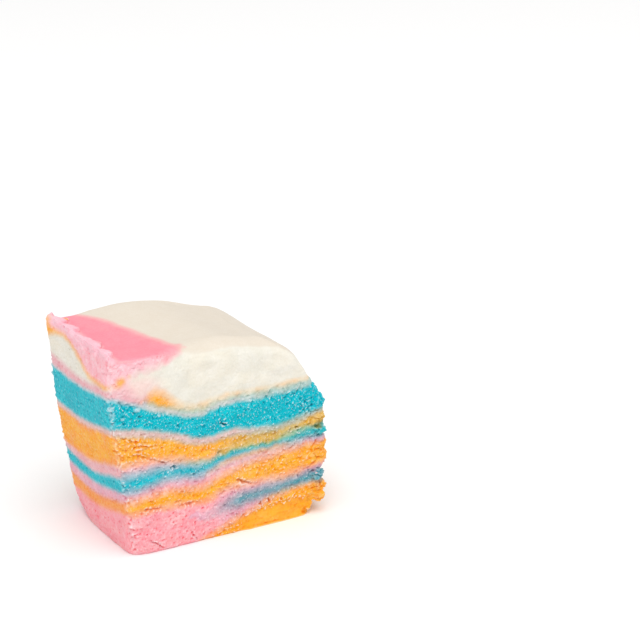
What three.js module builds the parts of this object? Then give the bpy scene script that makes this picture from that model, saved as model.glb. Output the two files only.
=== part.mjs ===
// One slice of swirled soft nougat: a poured block of pink, white, turquoise and orange layers,
// cut into slices about as thick as a thumb. Millimetres, +Z up.
// While it is built, x runs along the crumbly front from the near left corner, y runs into the
// thickness and z goes up from the face that it rests on. At the end it is centred on its base.
import * as THREE from 'three';

// Main sizes of the slice
const DEPTH = 25.4;
const TOP_HEIGHT = 36.4;
const BACK_RISE = 2.1;
const LEFT_LEAN = 2.9;
const RIGHT_FOOT = 36.2;
const RIGHT_BELLY = 39.2;
const FOOT_HEIGHT = 2.6;
const SHOULDER_START = 21.5;
const SHOULDER_REACH = 10.4;
const TOP_FALL = 1.5;

// Rounding of the upright corners, seen from above
const NEAR_LEFT_RADIUS = 0.6;
const FAR_LEFT_RADIUS = 1.6;
const RIGHT_RADIUS = 1.6;

// Rounding of the top and bottom edges
const KNIFE_EDGE = 0.7;
const SOFT_EDGE = 3.6;
const BOTTOM_EDGE = 0.6;
const NEAR_LEFT_SAG = 1.0;
const FAR_LEFT_SAG = 4.0;

// Lip dragged up along the left edge of the top by the knife
const LIP_HEIGHT = 1.4;
const LIP_OVERHANG = 0.5;
const LIP_FLARE = 0.9;

// Relief on the faces
const CRUMB_DEPTH = 0.22;
const LUMP_DEPTH = 0.75;
const SMOOTH_DEPTH = 0.05;
const BAND_BULGE = 0.45;

// Mesh: columns along the front, of which the first few cross the pink wedge, and rows in depth
const COLUMNS = 30;
const WEDGE_COLUMNS = 12;
const ROWS = 18;
const THINNEST = 0.22;

// Spine of the sheets inside: a row of points down the middle, over this share of the width
const SPINE_POINTS = 7;
const SPINE_START = 0.3;
const SPINE_END = 0.7;

// Pink wedge on the top: its share of the width at the front and at the back, how deep it is at
// the near left corner, along the front and at the far left corner, and its thinnest
const WEDGE_FRONT = 0.46;
const WEDGE_BACK = 0.16;
const WEDGE_CORNER_DEPTH = 5.6;
const WEDGE_FRONT_DEPTH = 2.2;
const WEDGE_FAR_DEPTH = 1.7;
const WEDGE_SKIN = 0.45;

// Orange vein under the wedge: its thickness, and how much it gains at the far left corner
const VEIN_THICKNESS = 0.6;
const VEIN_GAIN = 1.6;

// Pockets of two thin seams on the front: where they are across the width, how far they reach
// and how much thickness they add
const POCKETS = {
  orange_seam: { centre: 0.24, reach: 0.1, height: 2.1 },
  mauve_seam: { centre: 0.09, reach: 0.12, height: 1.9 },
};
const POCKET_DEPTH = 0.5;

const PINK = 0xfca8b4;
const MAUVE = 0xe2aeb6;
const WHITE = 0xf1efe2;
const ORANGE = 0xfcb13c;
const TURQUOISE = 0x12bfcd;
const TEAL = 0x8fb3b4;

const smooth = (from, to, value) => THREE.MathUtils.smoothstep(value, from, to);
const mix = THREE.MathUtils.lerp;

// A bump of height 1 at the centre that fades out at reach on both sides
function bump(value, centre, reach) {
  return smooth(0, 1, 1 - Math.abs(value - centre) / reach);
}

// Fixed pseudo-random number from -1 to 1 for each whole-number place
function hash(i, j, k) {
  const wave = Math.sin(i * 127.1 + j * 311.7 + k * 74.7) * 43758.5453;
  return 2 * (wave - Math.floor(wave)) - 1;
}

// Value noise from -1 to 1 that changes over about one unit
function noise(x, y, z) {
  const [i, j, k] = [Math.floor(x), Math.floor(y), Math.floor(z)];
  const [a, b, c] = [smooth(0, 1, x - i), smooth(0, 1, y - j), smooth(0, 1, z - k)];
  const edge = (dj, dk) => mix(hash(i, j + dj, k + dk), hash(i + 1, j + dj, k + dk), a);
  return mix(mix(edge(0, 0), edge(1, 0), b), mix(edge(0, 1), edge(1, 1), b), c);
}

// Smooth curve through evenly spaced values
function curveThrough(values) {
  const spline = new THREE.SplineCurve(values.map((value, i) => new THREE.Vector2(i, value)));
  return (place) => spline.getPoint(place / (values.length - 1)).y;
}

// One band of the swirl. front holds its thickness at 0, 1/4, 1/2, 3/4 and all of the width, and
// left holds it half way and all the way along the left face. It is absent where it would be
// thinner than THINNEST, so a negative number sets where it pinches out. steps are the rows of
// its wall, as shares of its thickness.
function band(node, colour, steps, front, left) {
  const alongFront = curveThrough(front);
  const alongLeft = curveThrough([front[0], ...left]);
  const along = (u, v) => alongFront(u * 4) + (1 - u) * (alongLeft(v * 2) - front[0]);
  return { node, colour, steps, along };
}

const evenSteps = (rows) => Array.from({ length: rows + 1 }, (_, row) => row / rows);
const FOOT_STEPS = [0, 0.08, 0.22, 0.38, 0.46, 0.7, 1];
const ROUNDED_STEPS = [0, 0.05, 0.16, 0.5, 1];
const SOFT_STEPS = evenSteps(8).map((share) => Math.sin(share * Math.PI / 2));

// The bands from the bottom up. The streak lies in the pink base, which is one solid round it.
const BANDS = [
  band('orange_base', ORANGE, FOOT_STEPS, [-3.0, -2.0, 1.7, 5.5, 6.4], [-3.0, -3.0]),
  band('pink_base', PINK, ROUNDED_STEPS, [5.0, 5.2, 3.7, 0.8, 0.5], [3.5, 3.5]),
  band('turquoise_streak', TEAL, evenSteps(2), [-1.5, -0.8, 1.2, 1.3, 1.7], [-1.5, -1.5]),
  band('pink_base', PINK, evenSteps(2), [3.2, 2.9, 2.5, 1.4, 1.4], [2.0, 2.0]),
  band('orange_lower', ORANGE, evenSteps(3), [2.2, 2.8, 2.9, 4.3, 4.1], [2.2, 2.7]),
  band('pink_middle', PINK, evenSteps(2), [2.1, 2.6, 2.4, 1.8, 1.4], [2.5, 2.4]),
  band('turquoise_middle', TURQUOISE, evenSteps(2), [2.6, 1.7, 1.9, 1.5, 1.6], [1.9, 2.3]),
  band('pink_upper', MAUVE, evenSteps(2), [2.5, 1.8, -0.3, -1.0, -1.0], [2.5, 1.5]),
  band('orange_upper', ORANGE, evenSteps(4), [6.1, 4.3, 3.0, 2.0, 2.9], [7.3, 7.6]),
  band('turquoise_upper', TURQUOISE, evenSteps(5), [6.3, 4.8, 5.6, 6.4, 5.4], [7.1, 7.3]),
  band('orange_seam', ORANGE, evenSteps(2), [-2.6, 1.6, 1.3, 1.2, 0.9], [-2.6, -2.6]),
  band('mauve_seam', MAUVE, evenSteps(2), [1.0, -0.8, -2.0, -2.0, -2.0], [1.4, 2.3]),
];

// What was poured last lies over them: white up to the top, with an orange vein and a pink wedge
// let into it from the left
const WHITE_TOP = { node: 'white_top', colour: WHITE, steps: SOFT_STEPS };
const ORANGE_VEIN = { node: 'orange_vein', colour: ORANGE, steps: evenSteps(1) };
const PINK_TOP = { node: 'pink_top', colour: PINK, steps: evenSteps(4) };
const LAYERS = [...BANDS, WHITE_TOP, ORANGE_VEIN, PINK_TOP];

// Extra thickness of a thin seam where it swells into a pocket on the front
function pocket(node, u, v) {
  if (!(node in POCKETS)) return 0;
  const { centre, reach, height } = POCKETS[node];
  return height * bump(u, centre, reach) * (1 - smooth(0, POCKET_DEPTH, v));
}

// Thickness of a band at (u, v), u across the width and v in depth. The swirl changes it a
// little towards the right and the back.
function bandThickness({ node, along }, index, u, v) {
  const swirl = 1 + 0.22 * noise(u * 3, v * 3, index * 5.3) * u * v;
  const value = (along(u, v) + pocket(node, u, v)) * swirl;
  return value < THINNEST ? 0 : value;
}

// Height of the poured top, with the knife's lip along the left edge
function topHeight(u, v) {
  const hump = mix(0.4, 1, smooth(0.1, 0.5, u)) * (1 - smooth(0.5, 0.95, u));
  const rise = BACK_RISE * smooth(0, 1, v) * hump;
  const fall = TOP_FALL * smooth(0.7, 1, u);
  const ragged = 0.8 + 0.4 * noise(v * 13, 3.1, 0.4);
  const lip = LIP_HEIGHT * ragged * (1 - smooth(0, 0.05, u));
  return TOP_HEIGHT + rise - fall + lip;
}

// Share of the width that the pink wedge takes at depth v
function wedgeWidth(v) {
  return mix(WEDGE_BACK, WEDGE_FRONT, 1 - v ** 2.4);
}

// Thickness of the pink wedge: deep at the near left corner, thin under the far end of the lip,
// and a shallow skin towards its border with the white
function wedgeThickness(u, v) {
  const across = u / wedgeWidth(v);
  if (across > 0.999) return 0;
  const taper = 1 - smooth(0.5, 1.02, across);
  const front = mix(WEDGE_CORNER_DEPTH, WEDGE_FRONT_DEPTH, smooth(0, 0.3, across)) * taper;
  const left = mix(WEDGE_CORNER_DEPTH, WEDGE_FAR_DEPTH, smooth(0.22, 0.75, v));
  const nearFront = (1 - v) ** 3;
  const nearLeft = (1 - across) ** 2;
  const value = front * nearFront + left * nearLeft - WEDGE_CORNER_DEPTH * nearFront * nearLeft;
  return Math.max(value, WEDGE_SKIN);
}

// Thickness of the orange vein under the pink, thickest at the far left corner
function veinThickness(u, v) {
  const across = u / wedgeWidth(v);
  const alongLeft = VEIN_THICKNESS + VEIN_GAIN * smooth(0.78, 1, v);
  const value = alongLeft * (1 - smooth(0.1, 0.5, across));
  return value < THINNEST ? 0 : value;
}

// Heights of all borders at (u, v), from the face it rests on to the top
function borderHeights(u, v) {
  const heights = [0];
  BANDS.forEach((each, index) => {
    heights.push(heights[index] + bandThickness(each, index, u, v));
  });
  const whiteFloor = heights.at(-1);
  const top = topHeight(u, v);
  const pinkFloor = top - wedgeThickness(u, v);
  const veinFloor = pinkFloor - veinThickness(u, v);
  const whiteTop = veinFloor - whiteFloor < THINNEST ? whiteFloor : veinFloor;
  heights.push(whiteTop, Math.max(whiteTop, pinkFloor), top);
  return heights;
}

// Left edge of the front at height z: the slice leans, and swells a little under the top
function leftEdge(z) {
  return -LEFT_LEAN * smooth(2, 27, z) - 0.3 * bump(z, 30, 6);
}

// Right edge at height z: a recessed foot, an upright belly and a long sloping shoulder
function rightEdge(z) {
  const belly = mix(RIGHT_FOOT, RIGHT_BELLY, smooth(FOOT_HEIGHT - 0.1, FOOT_HEIGHT + 0.5, z));
  const climb = Math.max(0, z - SHOULDER_START) / (TOP_HEIGHT - SHOULDER_START);
  return belly - SHOULDER_REACH * climb ** 1.2;
}

// Radius of the upright corner nearest to (u, v)
function cornerRadius(u, v) {
  if (u > 0.5) return RIGHT_RADIUS;
  return v > 0.5 ? FAR_LEFT_RADIUS : NEAR_LEFT_RADIUS;
}

// Point of the outline at height z for a place (u, v) on its rim, and the way out from it
function rimPoint(u, v, z) {
  const left = leftEdge(z);
  const width = rightEdge(z) - left;
  const radius = cornerRadius(u, v);
  const towardsRight = u > 0.5 ? 1 : -1;
  const towardsBack = v > 0.5 ? 1 : -1;
  const alongX = Math.min(u, 1 - u) * width;
  const alongY = Math.min(v, 1 - v) * DEPTH;
  const turn = Math.max(0, 1 - Math.max(alongX, alongY) / radius) * Math.PI / 4;
  const onFrontOrBack = alongX >= alongY;
  const along = turn > 0 ? radius - radius * Math.sin(turn) : Math.max(alongX, alongY);
  const inset = radius - radius * Math.cos(turn);
  const fromSide = onFrontOrBack ? along : inset;
  const fromFace = onFrontOrBack ? inset : along;
  const x = towardsRight > 0 ? left + width - fromSide : left + fromSide;
  const y = towardsBack > 0 ? DEPTH - fromFace : fromFace;
  const sine = Math.sin(turn);
  const cosine = Math.cos(turn);
  const out = onFrontOrBack
    ? new THREE.Vector2(towardsRight * sine, towardsBack * cosine)
    : new THREE.Vector2(towardsRight * cosine, towardsBack * sine);
  return { x, y, out };
}

// How far a rounded edge of this radius draws back, at this distance from its crest
function drawBack(radius, distance) {
  const within = Math.max(0, radius - distance);
  return radius - Math.sqrt(radius * radius - within * within);
}

// Radius of the edge round the top: crisp along the knife cut, soft where the pour flowed
function topEdgeRadius(u, v) {
  return mix(KNIFE_EDGE, SOFT_EDGE, smooth(0.2, 0.6, u)) - 1.2 * smooth(0.5, 1, v) * smooth(0.2, 0.6, u);
}

// Height of the relief on the faces: crumb on the front and back, lumps on the torn right side
function relief(x, y, z, out) {
  const crumb = noise(x / 1.6, y / 1.6, z / 1.1) + 0.6 * noise(x / 0.9 + 9, y / 0.9, z / 0.7);
  const lumps = noise(x / 3.2, y / 3.2, z / 2.1 + 4) + 0.5 * noise(x / 1.5, y / 1.5, z / 1.2);
  const right = Math.max(0, out.x);
  const left = Math.max(0, -out.x);
  const face = 1 - right - left;
  const towardsRight = right + 0.5 * smooth(33, 39, x) * (1 - right);
  const fading = 1 - smooth(26, 30, z);
  const depth = SMOOTH_DEPTH * left + CRUMB_DEPTH * Math.max(0, face);
  return crumb * depth + lumps * LUMP_DEPTH * towardsRight * mix(0.25, 1, fading);
}

// Point of the wall at height z. share is 0 at the layer's borders and 1 half way between them.
function wallPoint(u, v, z, top, share) {
  const { x, y, out } = rimPoint(u, v, z);
  const towardsLeft = 1 - smooth(0, 0.2, u);
  const sag = mix(NEAR_LEFT_SAG * (1 - smooth(0, 0.2, v)), FAR_LEFT_SAG, smooth(0.6, 1, v));
  const foot = drawBack(BOTTOM_EDGE + sag * towardsLeft, z);
  const crest = drawBack(topEdgeRadius(u, v), top - z);
  const bulge = BAND_BULGE * share * (Math.max(0, out.x) + 0.4 * smooth(34, 39, x));
  const flare = LIP_FLARE * smooth(29, 37, z) * smooth(0.7, 1, v);
  const curl = LIP_OVERHANG * smooth(34.5, 37.5, z) * (0.6 + noise(y, z, 7));
  const overhang = Math.max(0, -out.x) * (flare + curl);
  const standing = smooth(0, 0.8, z);
  const push = relief(x, y, z, out) * standing + bulge + overhang - foot - crest;
  return new THREE.Vector3(x + out.x * push, y + out.y * push, z);
}

// Share of the width at a column of the mesh, so that one column follows the wedge's border
function columnShare(column, v) {
  const border = wedgeWidth(v);
  if (column <= WEDGE_COLUMNS) return border * column / WEDGE_COLUMNS;
  return mix(border, 1, (column - WEDGE_COLUMNS) / (COLUMNS - WEDGE_COLUMNS));
}

// Places round the rim, counter-clockwise seen from above, as columns and rows of the mesh
function rimPlaces() {
  const places = [];
  for (let column = 0; column < COLUMNS; column += 1) places.push([column, 0]);
  for (let row = 0; row < ROWS; row += 1) places.push([COLUMNS, row]);
  for (let column = COLUMNS; column > 0; column -= 1) places.push([column, ROWS]);
  for (let row = ROWS; row > 0; row -= 1) places.push([0, row]);
  return places;
}

const RIM = rimPlaces().map(([column, row]) => {
  const v = row / ROWS;
  const u = columnShare(column, v);
  return { column, row, u, v, heights: borderHeights(u, v) };
});

// Points up the wall of one layer at one place of the rim
function wallColumn(layer, { u, v, heights }) {
  const index = LAYERS.indexOf(layer);
  const low = heights[index];
  const high = heights[index + 1];
  return layer.steps.map((step) => {
    const share = 4 * step * (1 - step) * Math.min(1, (high - low) / 2);
    return wallPoint(u, v, mix(low, high, step), heights.at(-1), share);
  });
}

// The ring of points where one border meets the wall
function borderRing(border) {
  return RIM.map(({ u, v, heights }) => wallPoint(u, v, heights[border], heights.at(-1), 0));
}

// Sheet inside the slice at one border: the ring joined to a short spine down the middle
function spineSheet(border) {
  const ring = borderRing(border);
  const spine = [];
  for (let i = 0; i < SPINE_POINTS; i += 1) {
    const u = mix(SPINE_START, SPINE_END, i / (SPINE_POINTS - 1));
    const z = borderHeights(u, 0.5)[border];
    spine.push(new THREE.Vector3(mix(leftEdge(z), rightEdge(z), u), DEPTH / 2, z));
  }
  const nearest = RIM.map(({ u }) => {
    const share = THREE.MathUtils.clamp((u - SPINE_START) / (SPINE_END - SPINE_START), 0, 1);
    return Math.round(share * (SPINE_POINTS - 1));
  });
  const triangles = [];
  ring.forEach((point, i) => {
    const next = (i + 1) % ring.length;
    triangles.push([point, ring[next], spine[nearest[i]]]);
    const step = Math.sign(nearest[next] - nearest[i]);
    for (let k = nearest[i]; k !== nearest[next]; k += step) {
      triangles.push([ring[next], spine[k + step], spine[k]]);
    }
  });
  return triangles;
}

// Point inside the rim at a column and row of the mesh, blended from the four sides of the rim
function blendRim({ front, back, left, right }, column, row) {
  const u = column / COLUMNS;
  const v = row / ROWS;
  const point = new THREE.Vector3();
  point.addScaledVector(front[column], 1 - v).addScaledVector(back[column], v);
  point.addScaledVector(left[row], 1 - u).addScaledVector(right[row], u);
  point.addScaledVector(front[0], -(1 - u) * (1 - v));
  point.addScaledVector(front[COLUMNS], -u * (1 - v));
  point.addScaledVector(back[0], -(1 - u) * v);
  point.addScaledVector(back[COLUMNS], -u * v);
  return point;
}

// The ring of one border as four sides, each with its points from left to right or front to back
function ringSides(border) {
  const sides = { front: [], back: [], left: [], right: [] };
  borderRing(border).forEach((point, i) => {
    const { column, row } = RIM[i];
    if (row === 0) sides.front[column] = point;
    if (row === ROWS) sides.back[column] = point;
    if (column === 0) sides.left[row] = point;
    if (column === COLUMNS) sides.right[row] = point;
  });
  return sides;
}

// The ring's own point where a column and row of the mesh lie on the rim, and none inside it
function pointOnRim({ front, back, left, right }, column, row) {
  if (row === 0) return front[column];
  if (row === ROWS) return back[column];
  if (column === 0) return left[row];
  return column === COLUMNS ? right[row] : undefined;
}

// Fine sheet for the top and for the undersides of the pink and the vein below it
function fineSheet(border) {
  const top = ringSides(LAYERS.length);
  const own = ringSides(border);
  const points = [];
  for (let row = 0; row <= ROWS; row += 1) {
    const line = [];
    for (let column = 0; column <= COLUMNS; column += 1) {
      const inside = blendRim(top, column, row);
      inside.z = borderHeights(columnShare(column, row / ROWS), row / ROWS)[border];
      line.push(pointOnRim(own, column, row) ?? inside);
    }
    points.push(line);
  }
  const triangles = [];
  for (let row = 0; row < ROWS; row += 1) {
    for (let column = 0; column < COLUMNS; column += 1) {
      const [a, b] = [points[row][column], points[row][column + 1]];
      const [c, d] = [points[row + 1][column + 1], points[row + 1][column]];
      triangles.push([a, b, c], [a, c, d]);
    }
  }
  return triangles;
}

// Sheet at one border: fine from the white's top upward, coarse below
const SHEETS = Array.from({ length: LAYERS.length + 1 }, (_, border) => (
  border > BANDS.length ? fineSheet(border) : spineSheet(border)
));

// Wall of one layer round the whole slice
function layerWall(layer) {
  const columns = RIM.map((place) => wallColumn(layer, place));
  const triangles = [];
  columns.forEach((here, i) => {
    const next = columns[(i + 1) % columns.length];
    for (let row = 0; row < here.length - 1; row += 1) {
      triangles.push([here[row], next[row], next[row + 1]]);
      triangles.push([here[row], next[row + 1], here[row + 1]]);
    }
  });
  return triangles;
}

// Closed surface from triangles: points less than a micrometre apart are joined, flat-out
// triangles go, and so do pairs that face each other where a layer has pinched out
function closedGeometry(triangles) {
  const places = new Map();
  const positions = [];
  const numberOf = (point) => {
    const key = point.toArray().map((value) => Math.round(value * 1000)).join(' ');
    if (!places.has(key)) {
      places.set(key, places.size);
      positions.push(point.x, point.y, point.z);
    }
    return places.get(key);
  };
  const kept = new Map();
  for (const corners of triangles) {
    const [a, b, c] = corners.map(numberOf);
    if (a === b || b === c || c === a) continue;
    const name = [a, b, c].sort((p, q) => p - q).join(' ');
    if (kept.has(name)) kept.delete(name);
    else kept.set(name, [a, b, c]);
  }
  const geometry = new THREE.BufferGeometry();
  geometry.setAttribute('position', new THREE.Float32BufferAttribute(positions, 3));
  geometry.setIndex([...kept.values()].flat());
  geometry.computeVertexNormals();
  return geometry;
}

// Triangles of one layer: its wall, its top and its turned-over bottom
function layerTriangles(layer) {
  const index = LAYERS.indexOf(layer);
  const bottom = SHEETS[index].map(([a, b, c]) => [a, c, b]);
  return [...layerWall(layer), ...SHEETS[index + 1], ...bottom];
}

// The layers that share a node, such as the pink round the streak, become one solid
function nougatSlice() {
  const slice = new THREE.Group();
  for (const name of new Set(LAYERS.map((layer) => layer.node))) {
    const parts = LAYERS.filter((layer) => layer.node === name);
    const geometry = closedGeometry(parts.flatMap(layerTriangles));
    const material = new THREE.MeshStandardMaterial({
      color: parts[0].colour, roughness: 0.75, metalness: 0,
    });
    const mesh = new THREE.Mesh(geometry, material);
    mesh.name = name;
    slice.add(mesh);
  }
  return slice;
}

const slice = nougatSlice();
const bounds = new THREE.Box3().setFromObject(slice);
const centre = bounds.getCenter(new THREE.Vector3());
slice.position.set(-centre.x, -centre.y, -bounds.min.z);

export default slice;
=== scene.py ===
"""A slice of swirled soft nougat: pink, white, turquoise and orange candy poured in layers and cut.

Metres in the scene. Sizes are named in millimetres and turned into metres where a mesh takes them.
x runs along the crumbly front, y into the thickness of the slice, z up from the face it rests on.
"""
import math

import bpy
import numpy as np
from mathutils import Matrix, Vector, noise
from mathutils.bvhtree import BVHTree
from mathutils.kdtree import KDTree


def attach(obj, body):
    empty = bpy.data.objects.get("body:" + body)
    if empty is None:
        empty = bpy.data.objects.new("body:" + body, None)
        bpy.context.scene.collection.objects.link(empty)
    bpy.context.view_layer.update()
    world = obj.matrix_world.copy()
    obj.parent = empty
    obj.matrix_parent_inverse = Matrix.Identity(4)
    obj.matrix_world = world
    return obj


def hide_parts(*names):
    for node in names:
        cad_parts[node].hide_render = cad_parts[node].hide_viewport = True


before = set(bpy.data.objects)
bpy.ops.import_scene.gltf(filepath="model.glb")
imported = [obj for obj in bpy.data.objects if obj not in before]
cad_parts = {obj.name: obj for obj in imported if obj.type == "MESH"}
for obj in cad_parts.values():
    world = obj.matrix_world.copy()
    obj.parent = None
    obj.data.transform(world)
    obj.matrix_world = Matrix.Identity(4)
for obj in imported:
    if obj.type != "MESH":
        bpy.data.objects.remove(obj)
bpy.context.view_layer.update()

# The block. The candy is poured soft, layer on layer, and sets as one mass, so it is shaped whole
# here and parted into its layers further down. The knife and the set leave all its edges soft.
MM = 0.001
WELD = 0.002 * MM
SOFT_GRID = 0.35
SOFT_ROUNDS = 7


def pick(*things):
    """Selects these objects alone and makes the first one active."""
    bpy.ops.object.select_all(action="DESELECT")
    for thing in things:
        thing.select_set(True)
    bpy.context.view_layer.objects.active = things[0]


def own_copy(thing, name):
    """A copy of an object with a mesh of its own, free of the frame."""
    copy = thing.copy()
    copy.data = thing.data.copy()
    copy.parent = None
    copy.name = name
    for key in list(copy.keys()):
        del copy[key]
    bpy.context.scene.collection.objects.link(copy)
    return copy


def welded_copy(thing, name):
    """A copy whose loose triangles are joined into one closed skin."""
    copy = own_copy(thing, name)
    pick(copy)
    bpy.ops.object.mode_set(mode="EDIT")
    bpy.ops.mesh.select_all(action="SELECT")
    bpy.ops.mesh.remove_doubles(threshold=WELD)
    bpy.ops.object.mode_set(mode="OBJECT")
    bpy.ops.mesh.customdata_custom_splitnormals_clear()
    return copy


def knead(thing, grid, rounds):
    """Turns whatever an object holds into one even skin of this grid in mm, and softens it."""
    pick(thing)
    thing.data.remesh_voxel_size = grid * MM
    bpy.ops.object.voxel_remesh()
    soften = thing.modifiers.new("soften", "SMOOTH")
    soften.iterations = rounds
    bpy.ops.object.modifier_apply(modifier=soften.name)


layers = {name: welded_copy(node, "layer_" + name) for name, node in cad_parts.items()}
parts = [own_copy(layer, "part") for layer in layers.values()]
pick(*parts)
bpy.ops.object.join()
block = parts[0]
block.name = "block"
knead(block, SOFT_GRID, SOFT_ROUNDS)

# The sheets where two layers meet. They tell for any point which layer it lies in, how far it is
# from the layers under and over it, and which those are.
FAR = 4.0


def shared_sheets():
    """The triangles that two layers share: their corners, the layer under and the layer over."""
    met = {}
    sheets = []
    for name, layer in layers.items():
        points = [vertex.co for vertex in layer.data.vertices]
        for face in layer.data.polygons:
            corners = [points[i] for i in face.vertices]
            key = frozenset(tuple(round(c / WELD) for c in corner) for corner in corners)
            if key not in met:
                met[key] = name
                continue
            other = met[key]
            under, over = (name, other) if face.normal.z > 0 else (other, name)
            sheets.append((corners, under, over))
    return sheets


def tree_of(sheets):
    """A search tree over these triangles, each turned to face up."""
    points = []
    faces = []
    for corners, _, _ in sheets:
        a, b, c = corners
        if (b - a).cross(c - a).z < 0:
            b, c = c, b
        faces.append((len(points), len(points) + 1, len(points) + 2))
        points += [a, b, c]
    return BVHTree.FromPolygons(points, faces)


sheets = shared_sheets()
any_sheet = tree_of(sheets)
floors = {name: [s for s in sheets if s[2] == name] for name in layers}
roofs = {name: [s for s in sheets if s[1] == name] for name in layers}
floor_trees = {name: tree_of(found) for name, found in floors.items() if found}
roof_trees = {name: tree_of(found) for name, found in roofs.items() if found}


def layer_at(point):
    """Name of the layer that a point of the skin lies in."""
    near, normal, index, _ = any_sheet.find_nearest(point)
    _, under, over = sheets[index]
    name = over if (point - near).dot(normal) >= 0 else under
    if name in floor_trees and name in roof_trees:
        floor_near, _, on_floor, _ = floor_trees[name].find_nearest(point)
        roof_near, _, on_roof, _ = roof_trees[name].find_nearest(point)
        beneath, above = floors[name][on_floor][1], roofs[name][on_roof][2]
        past_the_tip = (floor_near - roof_near).length < WELD
        if past_the_tip and beneath != above:
            return beneath if point.z < near.z else above
    return name


def to_floor_of(name, point):
    """How far a point is from a layer's floor, in mm, and the layer under that."""
    if name not in floor_trees:
        return FAR, name
    _, _, index, distance = floor_trees[name].find_nearest(point)
    return min(FAR, distance / MM), floors[name][index][1]


def to_roof_of(name, point):
    """How far a point is from a layer's roof, in mm, and the layer over that."""
    if name not in roof_trees:
        return FAR, name
    _, _, index, distance = roof_trees[name].find_nearest(point)
    return min(FAR, distance / MM), roofs[name][index][2]


# The edges. The knife leaves the near edge blunt and crumbling, and the soft pink slumps round at
# its foot, so both are rounded far more than the rest before anything is laid on them.
EDGE_ROUNDS = 50
EDGE_WIDTH = 8
EDGE_SHARPNESS = (0.25, 0.6)
TURNS_TO_TOP = 0.5
EDGE_FADE = (0.0, 0.12)
FADED_OUT = 0.02
WHOLE_HEIGHT = 99
FOOT_TO = 4.0
FOOT_ROUNDS = 130
FOOT_HEIGHT = 4.5
SETTLED = 1.0
SETTLES_FROM = 3.0


def read(mesh, what):
    """Places or normals of all points of a mesh, as an array with three columns."""
    values = np.zeros(len(mesh.vertices) * 3, np.float32)
    mesh.vertices.foreach_get(what, values)
    return values.reshape(-1, 3).astype(float)


def spreader(mesh):
    """A function that evens out values on a skin: each round a point takes the mean around it."""
    pairs = np.zeros(len(mesh.edges) * 2, np.int32)
    mesh.edges.foreach_get("vertices", pairs)
    first, second = pairs.reshape(-1, 2).T
    count = np.bincount(pairs, minlength=len(mesh.vertices)) + 1

    def spread(values, rounds):
        columns = values if values.ndim == 2 else values[:, None]
        for _ in range(rounds):
            total = columns.copy()
            for column in range(columns.shape[1]):
                for a, b in ((first, second), (second, first)):
                    total[:, column] += np.bincount(a, columns[b, column], minlength=len(columns))
            columns = total / count[:, None]
        return columns if values.ndim == 2 else columns[:, 0]

    return spread


def ease(low, high, values):
    """Smooth step from 0 at low to 1 at high."""
    t = np.clip((values - low) / (high - low), 0, 1)
    return t * t * (3 - 2 * t)


def blunt(thing, rounds, height):
    """Rounds the left end's upright edges up to a height, and the foot as far as the pink goes."""
    spread = spreader(thing.data)
    places = read(thing.data, "co")
    normals = spread(read(thing.data, "normal"), EDGE_WIDTH)
    level = np.hypot(normals[:, 0], normals[:, 1])
    upright = 2 * np.clip(-normals[:, 0], 0, 1) * np.abs(normals[:, 1]) * (normals[:, 2] < TURNS_TO_TOP)
    foot = 2 * np.clip(-normals[:, 2], 0, 1) * level * (places[:, 0] < FOOT_TO * MM)
    edge = ease(*EDGE_SHARPNESS, np.maximum(upright, foot)) * (places[:, 2] < height * MM)
    edge = ease(*EDGE_FADE, spread(edge, EDGE_WIDTH))
    group = thing.vertex_groups.new(name="edge")
    for index in np.flatnonzero(edge > FADED_OUT).tolist():
        group.add([index], edge[index], "REPLACE")
    soften = thing.modifiers.new("blunt", "SMOOTH")
    soften.vertex_group = group.name
    soften.iterations = rounds
    pick(thing)
    bpy.ops.object.modifier_apply(modifier=soften.name)
    thing.vertex_groups.clear()


def place_points(mesh, places):
    """Moves the points of a mesh to these places in mm."""
    mesh.vertices.foreach_set("co", (places * MM).astype(np.float32).ravel())
    mesh.update()


def settle(thing):
    """Lets the soft foot sag onto what it stands on, so that no gap is left round it."""
    places = read(thing.data, "co") / MM
    places[:, 2] = np.maximum(places[:, 2] - SETTLED * ease(SETTLES_FROM, 0, places[:, 2]), 0)
    place_points(thing.data, places)


blunt(block, EDGE_ROUNDS, WHOLE_HEIGHT)
blunt(block, FOOT_ROUNDS, FOOT_HEIGHT)
settle(block)

# The lip. The knife drags the soft pink up along the left edge of the top, where it dries in
# scalloped curls that lean over the smooth wedge. Each curl ends in a small hook at its near end.
CURL_POINTS = 18
CURL_THICKNESS = 0.95
CURL_ROOT = 0.3
CURL_DROOP = 0.17
CURL_ROUNDS = 12
WIDEST_NEARER = 1.6
BLUNTNESS = 0.85
SCALLOP_SHARE = 0.18
SCALLOPS_PER_MM = 2.6
FINE_GRID = 0.15
CURLS = (
    {"far": 12.3, "near": 7.2, "reach": 2.3, "hook": 0.3, "crest": -21.2, "top": 38.3},
    {"far": 6.4, "near": 3.1, "reach": 2.2, "hook": 0.5, "crest": -21.0, "top": 38.2},
    {"far": 1.4, "near": -7.0, "reach": 2.1, "hook": 1.1, "crest": -20.9, "top": 37.8},
    {"far": -7.8, "near": -10.8, "reach": 1.9, "hook": 0.6, "crest": -20.8, "top": 37.75},
)


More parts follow.
